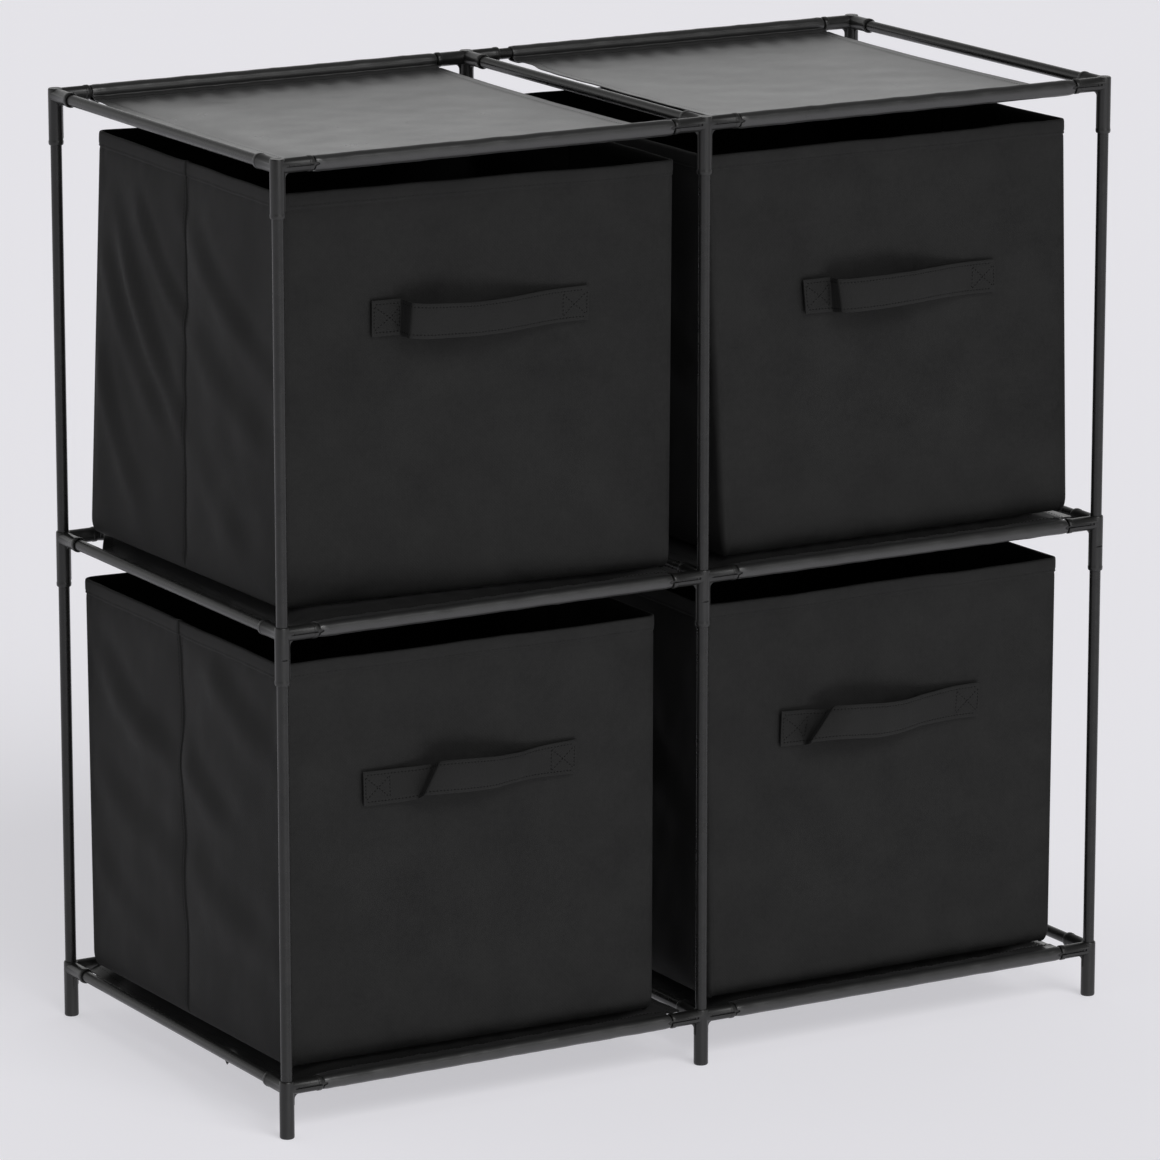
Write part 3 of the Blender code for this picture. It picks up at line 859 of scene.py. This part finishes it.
def box_cloth(name):
    """One box: its cloth outside and its lining in one closed shell, and its stitches."""
    node, body = f"box_{name}", f"drawer_{name}"
    low, tall, foot, rim = box_plan(name)
    rows = wall_rows(tall)
    # Columns once around: the wall, how far along it, how far round its far corner.
    lengths = lengths_of(rim)
    cols = []
    for k, length in enumerate(lengths):
        spots = wall_columns(length - 2 * CORNER, WALLS[k] in SEAMED)
        cols += [(k, (a + CORNER) / length, 0) for a in spots]
        cols += [(k, 1.0, t) for t in (0.25, 0.5, 0.75)]
    kk = np.array([c[0] for c in cols])
    uu, tt = (np.array([c[i] for c in cols], float) for i in (1, 2))
    ll = lengths[kk]
    nn = (kk + 1) % 4
    across = len(cols)
    around = np.concatenate(([0], np.cumsum(lengths)))[kk] + uu * ll
    points = np.zeros((len(rows), across, 3))
    outs = np.zeros((len(rows), across, 2))
    seed = 500 + 10 * list(BOXES).index(name)
    seamed = np.isin(kk, [WALLS.index(wall) for wall in SEAMED])
    seam_bump = np.where(seamed & (tt == 0), 0.9 * bell((uu - 0.5) * ll, 3.0), 0)
    # The side walls turn under more sharply than the front and the back.
    turning = np.where(seamed, SIDE_TURN, 1.0) * (1 - tt) + np.where(seamed, 1.0, SIDE_TURN) * tt
    t = tt[:, None]
    w = 0.7071
    for j, (h, out, amount, inner) in enumerate(rows):
        plan = foot + (rim - foot) * h / tall
        nxt = np.roll(plan, -1, axis=0)
        run = (nxt - plan) / lengths_of(plan)[:, None]
        normal = np.stack((run[:, 1], -run[:, 0]), axis=1)
        straight = plan[kk] + (nxt - plan)[kk] * uu[:, None]
        # A round corner as a conic between its two walls.
        start = nxt[kk] - run[kk] * CORNER
        end = nxt[kk] + run[nn] * CORNER
        bend = 2 * w * t * (1 - t)
        arc = ((1 - t) ** 2 * start + bend * nxt[kk] + t**2 * end) / ((1 - t) ** 2 + bend + t**2)
        turned = normal[kk] * (1 - t) + normal[nn] * t
        turned = turned / np.linalg.norm(turned, axis=1)[:, None]
        outs[j] = np.where(t > 0, turned, normal[kk])
        bulge = np.zeros(across)
        for k, wall in enumerate(WALLS):
            pick = (kk == k) & (tt == 0)
            a = uu[pick] * lengths[k]
            bulge[pick] = relief(name, wall, a, np.full(a.shape, tall - h), lengths[k], tall)
        near_foot = h < 10 and not inner
        shift = out * (turning if near_foot else 1) + amount * bulge
        wave = 0.35 * field(seed, around, around * 0, 90, 2) + seam_bump
        wave = wave * step(np.array(h), tall - 60, tall)
        points[j, :, :2] = (np.where(t > 0, arc, straight) + outs[j] * shift[:, None]) * MM
        points[j, :, 2] = low + (h + wave) * MM
    total = len(rows)
    walked = np.cumsum([0] + [math.dist(a[:2], b[:2]) for a, b in zip(rows, rows[1:])]) * MM
    uv = np.stack(np.meshgrid(around * MM, walked), axis=-1).reshape(-1, 2)
    faces = grid_faces(across, total, wrap=True)
    slots = [int(rows[k // across + 1][3] and rows[k // across][3]) for k in range(len(faces))]
    faces += [range(across)[::-1], range((total - 1) * across, total * across)]
    slots += [0, 1]
    verts = points.reshape(-1, 3)
    piece = mesh_piece(f"cloth_{node}", verts, faces, [BOX_CLOTH, SHADED_LINING], uv=uv, slots=slots)
    keep(piece, body, "box_fabric", node)

    # Stitches under the folded hem, and beside the seams of the side walls.
    def seam_line(spots):
        return [(tuple(points[j, i]), (*outs[j, i], 0)) for j, i in spots]

    hem_row = next(j for j, row in enumerate(rows) if row[0] == tall - HEM + HEM_SEAM)
    runs = [seam_line([(hem_row, i) for i in (*range(across), 0)])]
    for k in (WALLS.index(wall) for wall in SEAMED):
        for beside in (-3.2, 3.2):
            target = 0.5 + beside / lengths[k]
            i = int(np.argmin(np.where((kk == k) & (tt == 0), np.abs(uu - target), 9)))
            runs.append(seam_line([(j, i) for j in range(SEAM_FROM_ROW, hem_row - 3)]))
    stitches(f"stitching_{node}", runs, body, "box_fabric", wide=0.26 * MM, tall=0.2 * MM)


def base_board(name):
    """The loose, cloth-covered board on the bottom of a box."""
    low, tall, foot, rim = box_plan(name)
    seed = 505 + 10 * list(BOXES).index(name)
    # Each outline: its height, and how far in from the board's edge.
    outlines = [(3.5, 1.2), (3.9, 0.2), (5.2, 0), (6.1, 0.35)]
    outlines += [(6.5, 1.4), (6.55, 4.0), (6.4, 40.0), (6.3, 90.0)]
    verts = []
    for h, back in outlines:
        plan = foot + (rim - foot) * h / tall
        run = (np.roll(plan, -1, axis=0) - plan) / lengths_of(plan)[:, None]
        inward = np.stack((-run[:, 1], run[:, 0]), axis=1)
        for k in range(4):
            a, b = plan[k], plan[(k + 1) % 4]
            edge = inward[k] * (BOARD_INSET + back * (0.9 if back < 30 else 1))
            ring = [a + (b - a) * u + edge for u in np.linspace(0.04, 0.96, 22)]
            ring.append(b + (inward[k] + inward[(k + 1) % 4]) * (BOARD_INSET + 1.6 + back))
            for p in ring:
                wobble = 0.25 * float(field(seed, p[0], p[1], 80, 2))
                verts.append((p[0] * MM, p[1] * MM, low + (h + wobble) * MM))
    n = len(verts) // len(outlines)
    faces = grid_faces(n, len(outlines), wrap=True)
    faces += [range(n)[::-1], range(len(verts) - n, len(verts))]
    uv = [v[:2] for v in verts]
    # The board wears the darker lining, painted shade on the floor of the box.
    board = mesh_piece(f"base_board_{name}", verts, faces, [SHADED_LINING], uv=uv)
    keep(board, f"drawer_{name}", "box_fabric")


for name in BOXES:
    box_cloth(name)
    base_board(name)


# -------------------- strap handles
# Each edge of a strap as (mm along the front, mm off it, mm up), from its left end to its right.
STRAPS = {
    "upper_left": (
        [(-79.5, 0, 11.0), (-61.3, 0, 10.9), (-58.6, 2, 10.7), (-58.0, 8, 10.6),
         (-56.6, 14.5, 10.3), (-48, 17, 9.4), (-35.3, 17.5, 8.6), (-10.3, 16.5, 7.3),
         (16.6, 11.5, 7.3), (44.9, 4, 7.9), (58.3, 0.8, 7.9), (78.5, 0, 8.2)],
        [(-79.5, 0, -13.0), (-61.2, 0, -13.0), (-59.4, 2, -13.4), (-59.2, 8, -13.2),
         (-58.4, 14.5, -13.2), (-49, 17, -14.0), (-35.2, 17.5, -14.6), (-10.2, 16.5, -15.4),
         (16.7, 11.5, -15.6), (45.0, 4, -15.0), (58.3, 0.8, -14.9), (78.0, 0, -15.0)],
    ),
    "upper_right": (
        [(-73.0, 0, -4.8), (-53.3, 0, -4.8), (-52.2, 3, -4.7), (-52.6, 8, -4.5),
         (-52.2, 12, -4.3), (-44, 15, -4.3), (-26.9, 16, -4.3), (4.8, 14.5, -4.0),
         (28.9, 9, -4.2), (44.6, 4, -4.6), (59.3, 0.8, -5.0), (82.0, 0, -5.4)],
        [(-71.8, 0, -28.2), (-52.8, 0, -28.6), (-50.8, 3, -28.6), (-50.4, 8, -28.1),
         (-49.6, 12, -27.7), (-42, 15, -27.5), (-26.9, 16, -27.4), (4.8, 14.5, -26.6),
         (28.9, 9, -26.6), (44.6, 4, -27.1), (57.5, 0.8, -27.5), (82.2, 0, -28.0)],
    ),
    "lower_left": (
        [(-83, 0, 7.1), (-62.5, 0, 6.6), (-46, 1.0, 6.4), (-34.6, 4, 7.1), (-32.6, 8, 8.9),
         (-31.0, 12.5, 10.7), (-17.7, 15.5, 10.9), (8.2, 14, 9.0), (31, 7.5, 7.4),
         (41.3, 3, 7.4), (53.6, 0.8, 8.2), (78.0, 0, 9.0)],
        [(-82.7, 0, -16.4), (-62.1, 0, -16.8), (-51.4, 1.0, -16.6), (-45.0, 4, -15.2),
         (-44.0, 8, -12.8), (-42.8, 12, -11.4), (-27, 15.5, -11.6), (2.6, 14, -12.9),
         (27.7, 7.5, -12.9), (37, 3, -13.3), (53, 0.8, -13.6), (76.9, 0, -14.6)],
    ),
    "lower_right": (
        [(-83.5, 0, 5.6), (-65.8, 0, 4.6), (-56.0, 1.5, 4.0), (-50.2, 6, 4.6),
         (-49.6, 10, 6.6), (-48.4, 13.5, 8.3), (-33.3, 17.5, 8.0), (-6.2, 16, 5.6),
         (10.2, 12.5, 4.9), (35.3, 5, 5.2), (56.5, 0.8, 6.0), (77.4, 0, 6.0)],
        [(-84.5, 0, -18.9), (-69.1, 0, -19.4), (-66.4, 1.5, -19.2), (-66.4, 6, -17.9),
         (-67.0, 10, -16.4), (-66.8, 13, -15.2), (-47.0, 17.5, -14.8), (-17.1, 16, -17.8),
         (2.1, 12.5, -18.4), (30.4, 5, -17.3), (54.4, 0.8, -17.3), (76.4, 0, -18.0)],
    ),
}


TENSION = 0.42


def smooth_curve(stations, count):
    """Points along a centripetal curve through the stations, evenly spaced by station."""
    pts = np.array(stations, float)
    ext = np.vstack((2 * pts[0] - pts[1], pts, 2 * pts[-1] - pts[-2]))
    out = []
    for s in np.linspace(0, len(pts) - 1, count):
        i = min(int(s), len(pts) - 2)
        t = s - i
        p0, p1, p2, p3 = ext[i : i + 4]
        m1, m2 = TENSION * (p2 - p0), TENSION * (p3 - p1)
        h00, h10 = 2 * t**3 - 3 * t**2 + 1, t**3 - 2 * t**2 + t
        h01, h11 = -2 * t**3 + 3 * t**2, t**3 - t**2
        out.append(h00 * p1 + h10 * m1 + h01 * p2 + h11 * m2)
    return np.array(out)


def strap(name):
    """One strap handle as a closed band, and its stitches: two rows, and a box at each end."""
    node, body = f"handle_{name}", f"drawer_{name}"
    low, tall, foot, rim = box_plan(name)
    long_count, wide_count = 177, 25
    top, bottom = (smooth_curve(s, long_count)[:, None] for s in STRAPS[name])
    local = top + (bottom - top) * np.linspace(0, 1, wide_count)[None, :, None]
    local[:, :, 1] = np.maximum(local[:, :, 1], 0)
    loop = step(local[:, :, 1], 1.0, 6.0)
    across = np.linspace(-1, 1, wide_count)[None, :]
    uneven = 0.25 * field(31, local[:, :, 0], local[:, :, 2], 40, 2)
    local[:, :, 1] += loop * 0.7 * (1 - across**2) + 0.9 * (1 - loop) + uneven * (0.2 + loop)
    # From the front's own plan, height by height, into the unit.
    h = tall - STRAP_HEIGHT + local[:, :, 2]
    part = (h / tall)[:, :, None]
    left = foot[0] + (rim[0] - foot[0]) * part
    right = foot[1] + (rim[1] - foot[1]) * part
    run = (right - left) / np.linalg.norm(right - left, axis=2)[:, :, None]
    normal = np.stack((run[:, :, 1], -run[:, :, 0]), axis=2)
    mid = (left + right) / 2
    plan = mid + run * local[:, :, 0:1] + normal * (local[:, :, 1:2] + 0.5 + STRAP_THICK)
    front = np.concatenate((plan * MM, (low + h * MM)[:, :, None]), axis=2)
    d_long = np.gradient(front, axis=0)
    d_wide = np.gradient(front, axis=1)
    face = np.cross(d_wide, d_long)
    face = face / np.linalg.norm(face, axis=2)[:, :, None]
    if face[:, :, 1].mean() > 0:
        face = -face
    edge = np.abs(across)[:, :, None]
    thinner = 0.42 * step(edge, 0.86, 1.02)
    front = front - face * (0.22 * bell(edge - 0.78, 0.06) + thinner) * MM
    back = front - face * (STRAP_THICK - 2 * thinner) * MM
    verts = np.concatenate((front.reshape(-1, 3), back.reshape(-1, 3)))
    half = long_count * wide_count
    faces = grid_faces(wide_count, long_count)
    faces += grid_faces(wide_count, long_count, base=half, flip=True)
    for i in range(long_count - 1):
        for j in (0, wide_count - 1):
            a, b = i * wide_count + j, (i + 1) * wide_count + j
            quad = (a, b, half + b, half + a)
            faces.append(quad if j == 0 else quad[::-1])
    for j in range(wide_count - 1):
        for i in (0, long_count - 1):
            a, b = i * wide_count + j, i * wide_count + j + 1
            quad = (a, half + a, half + b, b)
            faces.append(quad if i == 0 else quad[::-1])
    gaps = np.linalg.norm(np.diff(front[:, wide_count // 2], axis=0), axis=1)
    reach = np.concatenate(([0], np.cumsum(gaps)))
    v = np.linspace(0, STRAP_WIDE * MM, wide_count)
    uv = np.stack(np.meshgrid(v, reach), axis=-1)[:, :, ::-1].reshape(-1, 2)
    uv = np.concatenate((uv, uv))
    piece = mesh_piece(f"webbing_{node}", verts, faces, [WEBBING], uv=uv, sharp=50)
    face_out(piece.data)
    keep(piece, body, "strap_webbing", node)

    def sample(i, w):
        """A point and its normal at station i and w from the top edge, 0 to 1."""
        j = w * (wide_count - 1)
        j0 = min(int(j), wide_count - 2)
        i0 = min(int(i), long_count - 2)
        p = n = 0
        for di in (0, 1):
            for dj in (0, 1):
                share = (i - i0 if di else 1 - i + i0) * (j - j0 if dj else 1 - j + j0)
                p = p + share * front[i0 + di, j0 + dj]
                n = n + share * face[i0 + di, j0 + dj]
        return tuple(p), tuple(n)

    runs = [[sample(i, w) for i in range(2, long_count - 2)] for w in (0.11, 0.89)]
    ends = [(1.6 * MM, 19.5 * MM), (reach[-1] - 19.5 * MM, reach[-1] - 1.6 * MM)]
    for i0, i1 in np.interp(ends, reach, np.arange(long_count)).tolist():
        corners = [(i, w) for i in (i0, i1) for w in (0.16, 0.84)]
        for a, b in ((0, 1), (2, 3), (0, 3), (1, 2)):
            (ia, wa), (ib, wb) = corners[a], corners[b]
            share = np.linspace(0, 1, 14)
            runs.append([sample(ia + (ib - ia) * t, wa + (wb - wa) * t) for t in share])
    stitches(f"stitching_{node}", runs, body, "strap_webbing", pitch=2.5 * MM, wide=0.42 * MM)


for name in BOXES:
    strap(name)


# -------------------- stage, light and camera
FLOOR_R = 60
PALE = {"Base_Color": (0.55, 0.545, 0.568, 1)}
PALE |= {"Emission_Color": (1.0, 0.99, 1.04, 1), "Emission_Strength": 0.490}
pale_floor, _, _ = material("pale_floor", 1.0, 0.0, **PALE)
angles = [2 * math.pi * k / 64 for k in range(64)]
ring = [(FLOOR_R * math.cos(angle), FLOOR_R * math.sin(angle), 0) for angle in angles]
floor = mesh_piece("floor", ring, [range(64)], [pale_floor])
floor.visible_shadow = False  # the low lamps below shine through it

# Pale walls of light around the horizon, dimmer overhead.
world = bpy.data.worlds.new("studio")
bpy.context.scene.world = world
world.use_nodes = True
sky = world.node_tree.nodes["Background"]
add = adder(world.node_tree)
toward = add("SeparateXYZ", Vector=add("TexCoord").outputs["Generated"]).outputs
high = ramp(add, toward["Z"], 0.16, 0.60, 0.90, 0.24, interpolation_type="SMOOTHSTEP")
back = ramp(add, toward["Y"], -0.5, 0.2, 0.40, 1.0, interpolation_type="SMOOTHSTEP")
above = maths(add, "GREATER_THAN", toward["Z"], -0.04)
glow = maths(add, "MULTIPLY", maths(add, "MULTIPLY", high, above), back)
world.node_tree.links.new(glow, sky.inputs["Strength"])
sky.inputs["Color"].default_value = (1.0, 1.0, 1.0, 1)

# One large soft box in front, tall and wide, as lamps at three heights: above, level and below.
# Each row has a name, a lift in degrees and a strength.
KEY_LIGHTS = (("high", 43, 0.55), ("level", 12, 0.20), ("low", -30, 0.54))
KEY_TURNS = (("left", -6), ("right", 15))
KEY_SPREAD = math.radians(26)
for height_name, lift, strength in KEY_LIGHTS:
    for hand, turn in KEY_TURNS:
        side, rise = math.radians(turn), math.radians(lift)
        flat = math.cos(rise)
        source = Vector((math.sin(side) * flat, -math.cos(side) * flat, math.sin(rise)))
        sun = bpy.data.lights.new(f"key_{height_name}_{hand}", "SUN")
        sun.energy = strength
        sun.angle = KEY_SPREAD
        lamp = placed(sun.name, sun)
        lamp.location = source
        lamp.rotation_euler = (-source).to_track_quat("-Z", "Y").to_euler()

camera_data = bpy.data.cameras.new("camera")
camera_data.lens = 213.026
camera_data.sensor_width = 36.0
camera_data.clip_start = 0.05
camera_data.clip_end = 400.0
camera = placed("camera", camera_data)
camera.location = (-2.34341156, -3.98398826, 1.41603839)
camera.rotation_euler = (math.radians(90 - 13.49288), 0, -math.radians(30.44605))
bpy.context.scene.camera = camera
bpy.context.scene.view_settings.view_transform = "Standard"

bpy.context.view_layer.update()
